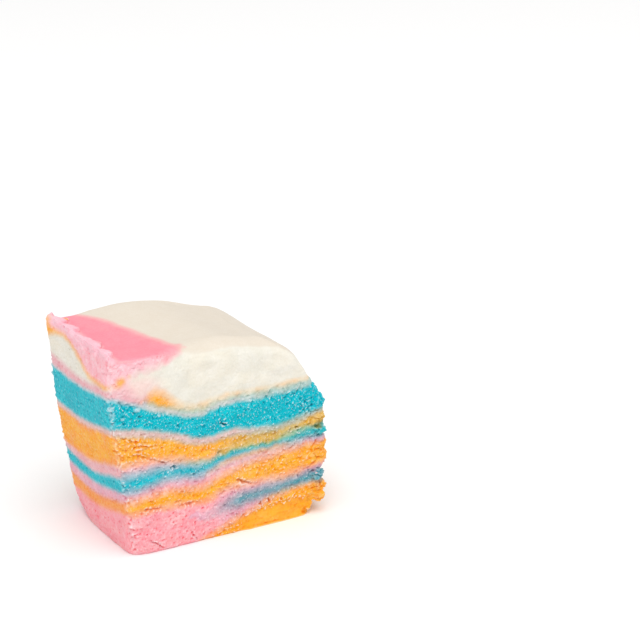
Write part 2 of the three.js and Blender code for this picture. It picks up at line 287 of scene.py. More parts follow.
def curl(far, near, reach, hook, crest, top):
    """One curl: a tongue that droops from the crest, with its near end drawn out to a hook."""
    bpy.ops.mesh.primitive_circle_add(vertices=2 * CURL_POINTS, fill_type="NGON")
    tongue = bpy.context.object
    for i, vertex in enumerate(tongue.data.vertices):
        along = 1 - abs(i / CURL_POINTS - 1)
        free = i <= CURL_POINTS
        edge = math.sin(math.pi * along ** WIDEST_NEARER) ** BLUNTNESS if 0 < along < 1 else 0
        scallop = 1 + SCALLOP_SHARE * math.sin(along * (far - near) * SCALLOPS_PER_MM)
        out = reach * edge * scallop if free else -CURL_ROOT
        vertex.co.x = crest + out
        vertex.co.y = far + (near - far) * along - hook * edge * along ** 3
        vertex.co.z = top - CURL_DROOP * max(0, out)
    pick(tongue)
    bpy.ops.object.mode_set(mode="EDIT")
    bpy.ops.mesh.select_all(action="SELECT")
    bpy.ops.mesh.extrude_region_move(TRANSFORM_OT_translate={"value": (0, 0, -CURL_THICKNESS)})
    bpy.ops.mesh.select_all(action="SELECT")
    bpy.ops.mesh.normals_make_consistent(inside=False)
    bpy.ops.transform.resize(value=(MM, MM, MM), center_override=(0, 0, 0))
    bpy.ops.object.mode_set(mode="OBJECT")
    return tongue


curls = [curl(**sizes) for sizes in CURLS]
pick(*curls)
bpy.ops.object.join()
lip_curls = curls[0]
knead(lip_curls, FINE_GRID, CURL_ROUNDS)

# Loose stuff. The torn right end is a heap of soft lumps, one row or more to each layer, and
# crumbs and flakes of candy cling to the front and along the near edge.
rng = np.random.default_rng(7)
FINE_ROUNDS = 3
OUTSIDE = 40
TORN_FROM = 17.0
LUMP_ROWS = np.arange(1.6, 24.0, 1.75)
LUMP_COLUMNS = np.arange(-11.9, 12.2, 2.3)
LUMP_LENGTH = 1.35
LUMP_WIDTH = 1.3
LUMP_HEIGHT = 1.35
LUMP_SCALES = (0.8, 1.15)
LUMP_SUNK = 0.75
LUMPS_LEFT_OUT = 0.16
LUMP_STRAYS = (-0.7, 0.7), (-0.4, 0.4)
LUMP_SINKS = (-0.3, 0.2)
LUMP_TURNS = (-0.5, 0.5)
LUMP_OVERLAP = 0.05
THIN_LAYER = 3.2
skin = BVHTree.FromObject(block, bpy.context.evaluated_depsgraph_get())


def pellet(centre, radii, turn):
    """One soft lump: a small ball drawn out to these radii in mm, turned about the upright."""
    bpy.ops.mesh.primitive_ico_sphere_add(subdivisions=2, radius=MM)
    ball = bpy.context.object
    pick(ball)
    bpy.ops.object.mode_set(mode="EDIT")
    bpy.ops.mesh.select_all(action="SELECT")
    bpy.ops.transform.resize(value=radii, center_override=(0, 0, 0))
    bpy.ops.transform.rotate(value=turn, orient_axis="Z", center_override=(0, 0, 0))
    bpy.ops.transform.translate(value=[c * MM for c in centre])
    bpy.ops.object.mode_set(mode="OBJECT")
    return ball


def lumps():
    """The lumps on the torn end, each kept to the height of the layer it belongs to."""
    made = []
    for z in LUMP_ROWS:
        for y in LUMP_COLUMNS:
            across, up = (rng.uniform(*strays) for strays in LUMP_STRAYS)
            start = Vector((OUTSIDE, y + across, z + up)) * MM
            place = skin.ray_cast(start, Vector((-1, 0, 0)))[0]
            left_out = rng.uniform() < LUMPS_LEFT_OUT
            if left_out or place is None or place.x < TORN_FROM * MM:
                continue
            name = layer_at(place)
            floor, _ = to_floor_of(name, place)
            roof, _ = to_roof_of(name, place)
            centre = place / MM
            if floor + roof < THIN_LAYER:
                centre.z += (roof - floor) / 2
            scale = rng.uniform(*LUMP_SCALES)
            height = min(LUMP_HEIGHT, (floor + roof) / 2 + LUMP_OVERLAP) * scale
            centre.x -= LUMP_SUNK + rng.uniform(*LUMP_SINKS)
            radii = (LUMP_LENGTH * scale, LUMP_WIDTH * scale, height)
            made.append(pellet(centre, radii, rng.uniform(*LUMP_TURNS)))
    return made


FLAKES = (
    {"x": -20.9, "z": 28.0, "size": 0.75}, {"x": -16.2, "z": 27.2, "size": 0.6},
    {"x": -18.9, "z": 26.0, "size": 0.35}, {"x": -12.1, "z": 25.4, "size": 0.35},
)
FLAKE_THICKNESS = 0.35
FLAKE_HEIGHT = 0.6
CRUMBS_ON_EDGE = 50
CRUMBS_ON_FRONT = 90
CRUMB_SIZES = (0.14, 0.30)
CRUMB_SHAPE = (1.3, 1, 0.8)
CRUMB_TURNS = (0, 3)
CRUMBS_UP_EDGE = (1.5, 36)
CRUMBS_UP_FRONT = (1, 26)
CRUMBS_ALONG_FRONT = (-17, 17)
CRUMBS_STRAY = 0.5
IN_FRONT = -30
EDGE_AT_FOOT = -18.5
EDGE_LEAN = 2.6
EDGE_HEIGHT = 37


def on_front(x, z):
    """The place on the front at this x and z in mm."""
    hit = skin.ray_cast(Vector((x, IN_FRONT, z)) * MM, Vector((0, 1, 0)))[0]
    return None if hit is None else hit / MM


def crumbs():
    """Flakes at their own places, small crumbs along the near edge and over the front."""
    made = []
    for flake in FLAKES:
        size = flake["size"]
        place = on_front(flake["x"], flake["z"])
        made.append(pellet(place, (size, FLAKE_THICKNESS, FLAKE_HEIGHT * size), 0))
    for number in range(CRUMBS_ON_EDGE + CRUMBS_ON_FRONT):
        if number < CRUMBS_ON_EDGE:
            z = rng.uniform(*CRUMBS_UP_EDGE)
            x = EDGE_AT_FOOT - EDGE_LEAN * (z / EDGE_HEIGHT) + rng.exponential(CRUMBS_STRAY)
        else:
            z = rng.uniform(*CRUMBS_UP_FRONT)
            x = rng.uniform(*CRUMBS_ALONG_FRONT)
        place = on_front(x, z)
        if place is not None:
            size = rng.uniform(*CRUMB_SIZES)
            radii = [size * share for share in CRUMB_SHAPE]
            made.append(pellet(place, radii, rng.uniform(*CRUMB_TURNS)))
    return made


pick(block, lip_curls, *lumps(), *crumbs())
bpy.ops.object.join()
knead(block, FINE_GRID, FINE_ROUNDS)

# The skin of the block. Each of its points is told apart here: cut by the knife at the left end,
# poured on top, torn at the right end or crumbly, and which layer it belongs to. A range is where
# a kind begins and where it is full, by how much the skin faces a side or by place in mm.
CANDY = {
    "orange_base": "orange", "pink_base": "pink", "turquoise_streak": "teal",
    "orange_lower": "orange", "pink_middle": "pink", "turquoise_middle": "turquoise",
    "pink_upper": "mauve", "orange_upper": "orange", "turquoise_upper": "turquoise",
    "orange_seam": "orange", "mauve_seam": "mauve", "white_top": "white",
    "orange_vein": "orange", "pink_top": "pink",
}
NAMES = list(CANDY)
FACES_LEFT = (0.55, 0.85)
FACES_UP = (0.45, 0.75)
FACES_DOWN = (0.5, 0.8)
FACES_FRONT = (0.3, 0.6)
LIP_ACROSS, LIP_UP = (-19.0, -20.0), (36.0, 36.8)
TOP_UP = (28, 31)
FOOT_DOWN = (3, 1)
TORN_ACROSS, TORN_UP = (14.5, 18.5), (27, 22)
CORNER_SHARPNESS = (0.35, 0.95)
SKIN_WIDTH = 4
CORNER_WIDTH = 12
SMEARED_BY_KNIFE = 0.5
SMEARED_ON_LIP = 0.8
WAVER = 0.30
HEIGHT = 38
APART = 7.3


def cloud(places, size, seed=0.0):
    """Soft noise from about -1 to 1, with features of this size in mm, one value to each place."""
    return np.array([noise.noise(p) for p in (places / size + seed).tolist()])


mesh = block.data
points = read(mesh, "co") / MM
spread = spreader(mesh)
out = spread(read(mesh, "normal"), SKIN_WIDTH)
out /= np.linalg.norm(out, axis=1)[:, None]
x, y, z = points.T
cut = ease(*FACES_LEFT, -out[:, 0])
lip = ease(*LIP_ACROSS, x) * ease(*LIP_UP, z)
poured = ease(*FACES_UP, out[:, 2]) * ease(*TOP_UP, z) * (1 - lip)
under = ease(*FACES_DOWN, -out[:, 2]) * ease(*FOOT_DOWN, z)
torn = ease(*TORN_ACROSS, x) * ease(*TORN_UP, z) * (1 - under)
wide = spread(out, CORNER_WIDTH)
corner = 2 * np.clip(-wide[:, 0], 0, 1) * np.abs(wide[:, 1])
corner = ease(*CORNER_SHARPNESS, corner) * (1 - poured)
crumbly = (1 - SMEARED_BY_KNIFE * cut) * (1 - poured) * (1 - under) * (1 - SMEARED_ON_LIP * lip)

# The borders between the layers waver, and more so where the candy crumbles.
waver = cloud(points, size=1.1, seed=5) * WAVER + cloud(points, size=0.45, seed=9) * WAVER * 0.8
asked = points.copy()
asked[:, 2] += waver * (0.35 + 0.65 * crumbly)
found = []
for place in (asked * MM).tolist():
    place = Vector(place)
    name = layer_at(place)
    floor, under_name = to_floor_of(name, place)
    roof, over_name = to_roof_of(name, place)
    found.append((NAMES.index(name), NAMES.index(under_name), NAMES.index(over_name), floor, roof))
found = np.array(found)
own, below, above = found[:, :3].astype(int).T
floor, roof = found[:, 3:].T
border = np.minimum(floor, roof)
bed = (np.minimum(floor, z) - np.minimum(roof, HEIGHT - z)) / 2
bedded = np.stack((x, y, bed + APART * own), axis=1)

# The crumb. Cut and torn faces are short and sugary: fine grains, pits, cracks that follow the
# layers, and little terraces in the orange. The poured top and the knife-cut left end are smoother.
# Sizes and depths are in mm.
ROUGHNESS = {
    "orange_base": 1.2, "pink_base": 1.0, "turquoise_streak": 0.9, "orange_lower": 1.0,
    "pink_middle": 1.0, "turquoise_middle": 1.0, "pink_upper": 0.9, "orange_upper": 1.1,
    "turquoise_upper": 1.0, "orange_seam": 0.9, "mauve_seam": 0.9, "white_top": 0.3,
    "orange_vein": 0.7, "pink_top": 0.8,
}
TERRACES = {"orange_upper": 1.0, "orange_lower": 0.7, "orange_base": 1.1, "pink_base": 0.35}
GRAIN_DEPTH = 0.10
CREASE_DEPTH = 0.32
FINE_GRAIN_DEPTH = 0.13
PIT_SHAPE = (1.5, 1.5, 0.8)
PIT_RADIUS = 0.42
PIT_STEEPNESS = 0.7
LARGE_PITS = {"size": 0.95, "share": 0.18, "depth": 0.34}
SMALL_PITS = {"size": 0.55, "share": 0.3, "depth": 0.17}
LAYER_CRACKS = {"length": 3.2, "width": 0.07, "depth": 0.22, "seed": 17}
TERRACE_RISE = 1.25
TERRACE_DEPTH = 0.30
TERRACE_HOLLOW = 1.6
TERRACE_CREST = (1.0, 0.8)
rough = spread(np.array([ROUGHNESS[n] for n in NAMES])[own], 8)
terraced = spread(np.array([TERRACES.get(n, 0) for n in NAMES])[own], 5)


def pits(places, size, share, depth):
    """Small holes in a share of the cells of this size, drawn out along the layers."""
    stretched = places / (size * np.array(PIT_SHAPE))
    depths = []
    for p in stretched.tolist():
        distances, centres = noise.voronoi(p)
        open_pit = noise.cell(centres[0] * 31.7) < 2 * share - 1
        depths.append(max(0.0, 1 - distances[0] / PIT_RADIUS) if open_pit else 0.0)
    return -depth * np.array(depths) ** PIT_STEEPNESS


def cracks(places, length, width, depth, seed):
    """Thin jagged cracks where a stretched noise changes sign, in patches."""
    jagged = places.copy()
    jagged[:, 2] += cloud(places, size=0.5, seed=seed) * 0.25
    line = np.abs(cloud(jagged * np.array((1 / length, 1 / length, 1 / 0.9)), size=1, seed=seed))
    patch = ease(0.05, 0.3, cloud(places * np.array((1, 1, 2.0)), size=5.0, seed=seed + 3))
    return -depth * patch * ease(width, 0, line)


def terraces(places, depth):
    """Torn steps along the layers: each runs out to a ragged crest and breaks back over it."""
    ragged = cloud(places * np.array((0.6, 0.6, 1.4)), size=1.1, seed=4) * 0.55
    rise = places[:, 2] / TERRACE_RISE + ragged
    rise += cloud(places, size=0.4, seed=11) * 0.3
    step = rise - np.floor(rise)
    patch = ease(-0.25, 0.25, cloud(places * np.array((1, 1, 2.5)), size=3.6, seed=21))
    return -depth * patch * step ** TERRACE_HOLLOW * ease(*TERRACE_CREST, step)


fade = ease(0.0, 0.35, border)
creases = np.abs(cloud(points, size=0.6, seed=3)) * CREASE_DEPTH
crumb = cloud(points, size=0.85) * GRAIN_DEPTH - creases + 0.08
crumb += cloud(points, size=0.36, seed=13) * FINE_GRAIN_DEPTH
relief = crumb * crumbly * rough
relief += pits(bedded, **LARGE_PITS) * crumbly * rough
relief += pits(points, **SMALL_PITS) * crumbly * rough
relief += cracks(bedded, **LAYER_CRACKS) * crumbly * rough * fade
relief += terraces(bedded, TERRACE_DEPTH) * crumbly * terraced * fade

# The left end, the near edge and the torn end. The knife leaves fine drag marks and small pits,
# the near edge breaks away in ragged bits, and the torn end parts into clods.
DRAG_DEPTH = 0.09
DRAG_PITS = {"size": 0.6, "share": 0.2, "depth": 0.18}
DRAG_WAVES = 0.14
WAVES_UP = (31, 33)
RAGGED = 0.7
RAGGED_BELOW = (30, 32)
TEAR_DEPTH = 0.26
FINE_TEAR_DEPTH = 0.18
CLOD_SIZE = 2.6
CLOD_DEPTH = 0.35
CLOD_SHAPE = (1.2, 1.2, 0.8)


def clods(places, size, depth, where):
    """Crevices that part a torn face into clods of this size, flattened along the layers."""
    stretched = places / (size * np.array(CLOD_SHAPE))
    stretched = stretched + cloud(places, size=0.8, seed=71)[:, None] * 0.15
    gaps = np.ones(len(places))
    for index in np.flatnonzero(where).tolist():
        distances, _ = noise.voronoi(stretched[index])
        gaps[index] = distances[1] - distances[0]
    rim = 0.16 + cloud(places, size=1.5, seed=77) * 0.14
    return -depth * ease(0, 1, 1 - gaps / np.maximum(rim, 0.02))


relief += (cloud(points, size=0.5, seed=2) * DRAG_DEPTH + pits(points, **DRAG_PITS)) * cut
relief += cloud(points, size=1.1, seed=72) * DRAG_WAVES * cut * ease(*WAVES_UP, z)
ragged = np.abs(cloud(points, size=0.9, seed=8)) - 0.28 + cloud(points, size=0.4, seed=18) * 0.2
relief += RAGGED * ragged * np.maximum(corner * (1 - 0.7 * ease(*RAGGED_BELOW, z)), 0.15 * lip)
tear = cloud(points * np.array((1.2, 1, 0.8)), size=1.3, seed=31) * TEAR_DEPTH
tear += cloud(points, size=0.6, seed=33) * FINE_TEAR_DEPTH
relief += tear * torn
relief += clods(points, CLOD_SIZE, CLOD_DEPTH, torn > 0) * torn ** 2

# The smooth strip at the lower right, where a skin of crumb broke off the orange base. Its upper
# rim is a ragged ledge that climbs from one x and z to another.
LEDGE_FROM, LEDGE_TO = (3.3, 3.0), (18.0, 4.2)
STRIP_BEGINS, STRIP_ENDS = (2.0, 5.0), (19.5, 18.0)
STRIP_SUNK = 0.45
ledge_z = np.interp(x, (LEDGE_FROM[0], LEDGE_TO[0]), (LEDGE_FROM[1], LEDGE_TO[1]))
fringe = cloud(points * np.array((1, 1, 0.3)), size=0.7, seed=91) * 0.8
fringe += cloud(points, size=0.35, seed=95) * 0.2
bare = ease(0, 0.3, ledge_z + fringe - z) * ease(*STRIP_BEGINS, x) * ease(*STRIP_ENDS, x)
bare *= ease(*FACES_FRONT, -out[:, 1]) * (1 - under)
relief = relief * (1 - 0.5 * bare) + (cloud(points, size=1.5, seed=97) * 0.2 - STRIP_SUNK) * bare

# The large cracks across the front, each from one x and z to another. The candy above a crack
# stands a little proud of it.
HEAVE = 0.16
HEAVE_ON_TOP = 0.02
CRACK_LIP = 0.10
FRONT_CRACKS = (
    {"start": (-19.7, 23.0), "end": (-16.7, 21.5), "width": 0.16, "depth": 0.5},
    {"start": (-17.4, 19.2), "end": (-12.6, 17.2), "width": 0.3, "depth": 0.32},
    {"start": (-19.0, 21.0), "end": (-10.0, 19.3), "width": 0.22, "depth": 0.28},
    {"start": (-12.4, 17.1), "end": (-11.0, 16.4), "width": 0.14, "depth": 0.5},
    {"start": (-10.5, 15.5), "end": (-8.9, 15.2), "width": 0.3, "depth": 0.8},
    {"start": (-0.5, 21.5), "end": (0.9, 21.2), "width": 0.2, "depth": 0.9},
    {"start": (2.3, 10.5), "end": (5.6, 8.8), "width": 0.32, "depth": 0.8},
    {"start": (-9.1, 7.9), "end": (-4.6, 7.7), "width": 0.3, "depth": 0.5},
    {"start": (-16.3, 8.7), "end": (-11.2, 8.2), "width": 0.2, "depth": 0.4},
    {"start": (-14.6, 2.8), "end": (-11.5, 0.4), "width": 0.25, "depth": 0.4},
    {"start": (-6.6, 2.6), "end": (-5.2, 0.8), "width": 0.16, "depth": 0.5},
    {"start": (15.8, 22.0), "end": (17.1, 20.0), "width": 0.16, "depth": 0.5},
    {"start": (13.9, 17.9), "end": (13.6, 16.9), "width": 0.2, "depth": 0.5},
    {"start": (15.1, 18.2), "end": (15.4, 16.8), "width": 0.2, "depth": 0.5},
    {"start": (7.2, 5.2), "end": (7.8, 3.9), "width": 0.2, "depth": 0.6},
    {"start": (9.2, 5.3), "end": (9.6, 4.0), "width": 0.25, "depth": 0.6},
    {"start": (11.8, 4.9), "end": (12.1, 3.9), "width": 0.2, "depth": 0.5},
)


def front_crack(start, end, width, depth):
    """One jagged crack on the front, with a raised upper lip."""
    x1, z1 = start
    x2, z2 = end
    run, climb = x2 - x1, z2 - z1
    along = np.clip(((x - x1) * run + (z - z1) * climb) / (run ** 2 + climb ** 2), 0, 1)
    jag = cloud(points, size=0.55, seed=x1) * 0.3 + cloud(points, size=0.25, seed=z1) * 0.12
    over = z - (z1 + climb * along) + jag
    aside = np.abs(x - (x1 + run * along) + cloud(points, size=0.6, seed=z2) * 0.35)
    taper = np.sqrt(np.sin(np.pi * np.clip(along, 0.04, 0.96)))
    inside = ease(1, 0.2, np.hypot(over, aside) / (width * taper + 0.05))
    proud = ease(0, 0.15, over) * ease(0.5, 0.15, over) * (aside < 0.3)
    return (CRACK_LIP * proud - depth * inside) * taper * ease(0.4, 0.7, -out[:, 1])


for sizes in FRONT_CRACKS:
    relief += front_crack(**sizes)
relief *= 1 - under * 0.8
heave = cloud(points, size=3.4, seed=41) * HEAVE * crumbly
heave += cloud(points, size=5.0, seed=44) * HEAVE_ON_TOP * poured
points += out * (relief + heave * (1 - under))[:, None]
points[:, 2] = np.maximum(points[:, 2], 0)
place_points(mesh, points)

# The dyes. Each layer was coloured by hand and stirred little, so its colour drifts along it: the
# orange turns olive and the pink turns lilac where turquoise was folded in. The beige laid on the
# poured white top is no dye but a painted shadow. Where a share is given by ease, its first two
# values are places in mm along the front.
COLOURS = {
    "pink": (0.97, 0.38, 0.43), "mauve": (0.84, 0.46, 0.50), "white": (0.82, 0.79, 0.70),
    "orange": (0.99, 0.44, 0.020), "turquoise": (0.003, 0.53, 0.62), "teal": (0.06, 0.36, 0.43),
}
TAN = (0.86, 0.68, 0.42)
OLIVE = (0.79, 0.47, 0.075)
MOSS = (0.34, 0.50, 0.14)
SEA = (0.035, 0.46, 0.42)
LIP_PINK = (0.98, 0.50, 0.59)
PALE_TURQUOISE = (0.08, 0.50, 0.61)
DEEP_PINK = (0.97, 0.29, 0.36)
PALE_PINK = (0.99, 0.59, 0.65)
# The beige below is a painted shadow for the poured top of the white layer.
PAINTED_SHADOW_BEIGE = (0.78, 0.70, 0.59)
PEACH = (0.96, 0.37, 0.09)
BLUSH = (0.92, 0.66, 0.62)
LILAC = (0.80, 0.45, 0.55)
plain = np.array([COLOURS[CANDY[n]] for n in NAMES])[own]
colours = {name: np.tile(COLOURS[CANDY[name]], (len(points), 1)) for name in NAMES}
uncut = 1 - cut
sunk = np.where(own == NAMES.index("turquoise_middle"), roof, 0)
risen = np.where(own == NAMES.index("orange_upper"), floor, 0)
ochre = ease(-5, 1, x + cloud(points, size=2.0, seed=16) * 2) * ease(16, 11, x) * uncut


def dye(name, colour, share):
    """Turns the colour of one layer toward another colour, by a share for each point."""
    share = np.clip(share, 0, 1)[:, None]
    colours[name] = colours[name] + (np.array(colour) - colours[name]) * share


dye("orange_seam", TAN, ease(-10, -7, x) * (0.75 + cloud(points, size=1.6, seed=3)))
dye("orange_seam", COLOURS["mauve"], ease(-14, -16.5, x))
dye("orange_upper", OLIVE, ease(-4, 7, x) * uncut)
dye("turquoise_middle", PALE_TURQUOISE, uncut * (0.5 + 0.8 * cloud(points, size=1.2, seed=6)))
dye("turquoise_middle", SEA, 0.4 * ease(0, 10, x) * uncut)
dye("turquoise_middle", OLIVE, ease(0.75, 0.3, sunk) * 0.85 * ochre)
dye("turquoise_middle", MOSS, 0.5 * np.exp(-((sunk - 0.65) / 0.25) ** 2) * ochre)
lilac_clouds = 0.5 * cloud(points, size=1.5, seed=12)
dye("pink_middle", LILAC, 0.55 + 0.4 * cut + 0.3 * ease(-4, 2, x) + lilac_clouds)
dye("pink_base", LILAC, 0.7 * ease(-4, 2, x) * ease(1, 3, z))
dye("orange_upper", MOSS, ease(0.9, 0.2, risen) * ease(10, 13, x) * 0.5 * uncut)
dye("orange_lower", PEACH, cut)
dye("orange_upper", PEACH, 0.5 * cut + 0.8 * cloud(points, size=2.2, seed=14) * cut)
dye("orange_vein", PALE_PINK, ease(-19.6, -18.6, x) * ease(*FACES_FRONT, -out[:, 1]))
dye("turquoise_streak", LILAC, ease(4, -4, x))
dye("pink_top", DEEP_PINK, poured * ease(-20, -18.5, x))
dye("pink_top", PALE_PINK, (1 - poured) * (0.7 + 0.5 * cloud(points, size=1.4, seed=7)))
dye("pink_top", LIP_PINK, lip)
# Painted shadow: the poured top of the white layer is darkened to beige all over.
dye("white_top", PAINTED_SHADOW_BEIGE, poured)
dye("white_top", PALE_PINK, ease(-16.5, -18.8, x) * uncut * (1 - poured))
dye("white_top", BLUSH, ease(-8, -15, x) * ease(35, 31, z) * uncut * 0.8)

# The melting. Where two colours meet they run into each other over a millimetre or two, as they
# were warm. The stronger the dye, the further it reaches into its neighbour.
MELT = 1.15
MELT_WHEN_CUT = 0.5
MELT_ON_TOP = 0.6
MELT_WHEN_TORN = 0.7
STRENGTH = {"pink": 1.0, "mauve": 0.9, "white": 0.8, "orange": 1.2, "turquoise": 1.5, "teal": 1.8}
THIN = {"orange_seam": 0.8, "orange_vein": 0.9, "turquoise_middle": 2.2}
strength = np.array([THIN.get(n, STRENGTH[CANDY[n]]) for n in NAMES])
melt = MELT + (MELT_ON_TOP - MELT) * poured * ease(28, 32, z)
melt += (MELT_WHEN_TORN - MELT) * torn + (MELT_WHEN_CUT - MELT) * cut


def colour_of(layer):
    """The dyed colour that a layer has at each point, the layer given by index for each point."""
    chosen = np.zeros((len(points), 3))
    for index, name in enumerate(NAMES):
        chosen[layer == index] = colours[name][layer == index]
    return chosen


def share_of(other, distance):
    """The share that a neighbouring layer's dye has at this distance from its border."""
    most = strength[other] / (strength[other] + strength[own])
    return most * ease(1, 0, distance / (melt * 2 * most)) * (other != own)


from_below = share_of(below, floor)
from_above = share_of(above, roof)
crowd = np.maximum(from_below + from_above, 1)
from_below, from_above = from_below / crowd, from_above / crowd
mixed = colour_of(own) * (1 - from_below - from_above)[:, None]
mixed += colour_of(below) * from_below[:, None] + colour_of(above) * from_above[:, None]

# Spots and films. A few dabs of one colour lie in another near the left end, and a thin pale film
# of sugar runs along both sides of the broad turquoise band, thinner towards the torn end.
SPOTS = (
    {"candy": "orange", "centre": (-18.9, -12.4, 32.7), "size": 0.9},
    {"candy": "orange", "centre": (-17.6, -12.4, 33.4), "size": 0.4},
    {"candy": "orange", "centre": (-22.0, 11.3, 37.0), "size": 1.7},
    {"candy": "orange", "centre": (-21.7, 12.8, 36.3), "size": 1.7},
    {"candy": "orange", "centre": (-21.6, 12.2, 35.2), "size": 1.4},
    {"candy": "pink", "centre": (-8.8, -11.2, 35.7), "size": 1.2},
    {"candy": "pink", "centre": (-10.2, -11.9, 35.3), "size": 1.3},
)
for spot in SPOTS:
    away = np.linalg.norm(points - np.array(spot["centre"]), axis=1)
    away += cloud(points, size=0.7, seed=61) * 0.4
    share = ease(1.25, 0.35, away / spot["size"])[:, None] * 0.9
    mixed += (np.array(COLOURS[spot["candy"]]) - mixed) * share
mixed = spread(mixed, 6)

filmed = NAMES.index("turquoise_upper")
to_floor = np.where(own == filmed, floor, np.where(above == filmed, roof, FAR))
to_roof = np.where(own == filmed, roof, np.where(below == filmed, floor, FAR))
FILMS = (
    {"colour": (0.86, 0.57, 0.56), "most": 0.9, "reach": 0.6, "distance": to_floor},
    {"colour": (0.84, 0.72, 0.73), "most": 0.65, "reach": 0.38, "distance": to_roof},
)
thinned = 1 - 0.6 * ease(2, 10, x)
for film in FILMS:
    share = film["most"] * np.exp(-(film["distance"] / film["reach"]) ** 2) * thinned
    mixed += (np.array(film["colour"]) - mixed) * spread(share, 3)[:, None]

# The marks. What the candy's materials need to know of the skin is kept on its points: its melted
# colour, how deep or raised it is (for painted shade and painted highlight), its place in the layer
# and what kind of skin it is.
HOLLOW_WIDTH = 10
UNMELTED = (0.10, 0.01)
INSIDE_LAYER = (0.6, 1.2)
# How raised a crest may count for its painted highlight: a base, and more away from the torn end.
CREST_HIGHLIGHT, CREST_HIGHLIGHT_UNTORN = 0.08, 0.1
FROST_ON_EDGE, FROST_IN_PATCHES, FROST_ON_LIP = 0.05, 0.7, 0.35
core = ease(*UNMELTED, np.abs(mixed - plain).max(axis=1)) * ease(*INSIDE_LAYER, border)
# How far the skin lies below or above its surroundings, kept to paint shade into the hollows and a
# highlight onto the crests.
relief_for_painted_light = (relief - spread(relief, HOLLOW_WIDTH)) * (1 + 0.6 * cut)
relief_for_painted_light = np.minimum(relief_for_painted_light, CREST_HIGHLIGHT + CREST_HIGHLIGHT_UNTORN * (1 - torn))
# Painted highlight: the flakes are paled all over. This rides on one mark with the candy's own sugar
# frosting of the near edge and the lip.
flake_highlight = np.zeros(len(points))
for flake in FLAKES:
    size = flake["size"]
    away = np.hypot(x - flake["x"], (z - flake["z"]) * 1.5)
    flake_highlight = np.maximum(flake_highlight, ease(1.2 * size, 0.7 * size, away) * (out[:, 1] < -0.4))
patchy = ease(-0.25, 0.3, cloud(points, size=1.7, seed=51)) * (0.5 + 0.5 * ease(22, 25, z))
frost_and_flake_highlight = corner * (FROST_ON_EDGE + FROST_IN_PATCHES * patchy)
frost_and_flake_highlight = np.maximum(np.maximum(frost_and_flake_highlight, FROST_ON_LIP * lip), flake_highlight)
MARKS = {
    "tint": ("FLOAT_COLOR", "color", np.concatenate((mixed, core[:, None]), axis=1)),
    "relief": ("FLOAT", "value", relief_for_painted_light),
    "bedded": ("FLOAT_VECTOR", "vector", bedded),
    "faces": ("FLOAT_COLOR", "color", np.stack((cut, poured, frost_and_flake_highlight, bare), axis=1)),
}

# The parting. Each layer's own solid, let out a little past the block's skin, cuts its share out
# of the block, so that neighbours meet without a gap. Every share takes the place of its solid.
LET_OUT = 2.0
TOP_LET_OUT = 0.5
SHEET_LET_OUT = 0.12
LIP_LET_OUT = 1.6
LIP_WITHIN = -18.5
TOP_FROM = 28
NEAR_BASE = 2
ON_BASE = 0.01
NEAR_SKIN = 0.9
LEVEL = 0.8
TURNED_UP = 0.4
CREASE_ANGLE = math.radians(70)


def let_out(layer):
    """Moves a layer's outer points away from the block's middle, and its top and base points out."""
    for vertex in layer.data.vertices:
        near, normal, _, distance = skin.find_nearest(vertex.co)
        if distance > NEAR_SKIN * MM and (vertex.co - near).dot(normal) < 0:
            continue
        on_sheet = any_sheet.find_nearest(vertex.co)[3] < WELD
        if abs(normal.z) < LEVEL or vertex.co.z < NEAR_BASE * MM:
            aside = Vector((vertex.co.x, vertex.co.y, 0)).normalized()
            vertex.co += aside * LET_OUT * MM
        if vertex.co.z < ON_BASE * MM:
            vertex.co.z -= LET_OUT * MM
        elif normal.z > TURNED_UP and vertex.co.z > TOP_FROM * MM:
            near_lip = vertex.co.x < LIP_WITHIN * MM
            lift = LIP_LET_OUT if near_lip else SHEET_LET_OUT if on_sheet else TOP_LET_OUT
            vertex.co.z += lift * MM


skin_points = KDTree(len(points))
for index, point in enumerate((points * MM).tolist()):
    skin_points.insert(point, index)
skin_points.balance()


def mark(piece):
    """Gives each point of a piece the marks of the block's skin nearest to it."""
    nearest = [skin_points.find(vertex.co)[1] for vertex in piece.data.vertices]
    for name, (kind, field, values) in MARKS.items():
        attribute = piece.data.attributes.new(name, kind, "POINT")
        attribute.data.foreach_set(field, np.ascontiguousarray(values[nearest], np.float32).ravel())


def without_chips(thing):
    """Drops the few loose chips that the parting leaves on the torn end, and keeps the large piece."""
    bpy.ops.object.mode_set(mode="EDIT")
    bpy.ops.mesh.select_all(action="SELECT")
    bpy.ops.mesh.separate(type="LOOSE")
    bpy.ops.object.mode_set(mode="OBJECT")
    *chips, kept = sorted(bpy.context.selected_objects, key=lambda part: len(part.data.polygons))
    for chip in chips:
        bpy.data.objects.remove(chip)
    return kept


def part_off(name):
    """The share of the block that lies inside one layer, as a piece of its own."""
    piece = own_copy(block, "nougat_" + name)
    pick(piece)
    cut_out = piece.modifiers.new("part", "BOOLEAN")
    cut_out.operation = "INTERSECT"
    cut_out.solver = "MANIFOLD"
    cut_out.object = layers[name]
    bpy.ops.object.modifier_apply(modifier=cut_out.name)
    piece = without_chips(piece)
    piece.name = "nougat_" + name
    pick(piece)
    bpy.ops.object.shade_smooth_by_angle(angle=CREASE_ANGLE)
    mark(piece)
    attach(piece, "root")
    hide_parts(name)
    return piece


for layer in layers.values():
    let_out(layer)
pieces = {name: part_off(name) for name in layers}
for leftover in (block, *layers.values()):
    bpy.data.objects.remove(leftover)

# The candy. All colours are the same boiled-sugar paste. Painted shade darkens and deepens the
# colour in the pits, painted highlight pales the raised crests, and sugar grains come out paler.
# Each colour has streaks of its own along the layer, and its own share of sugar.
STREAK_SHAPE = (0.16, 0.16, 0.9)
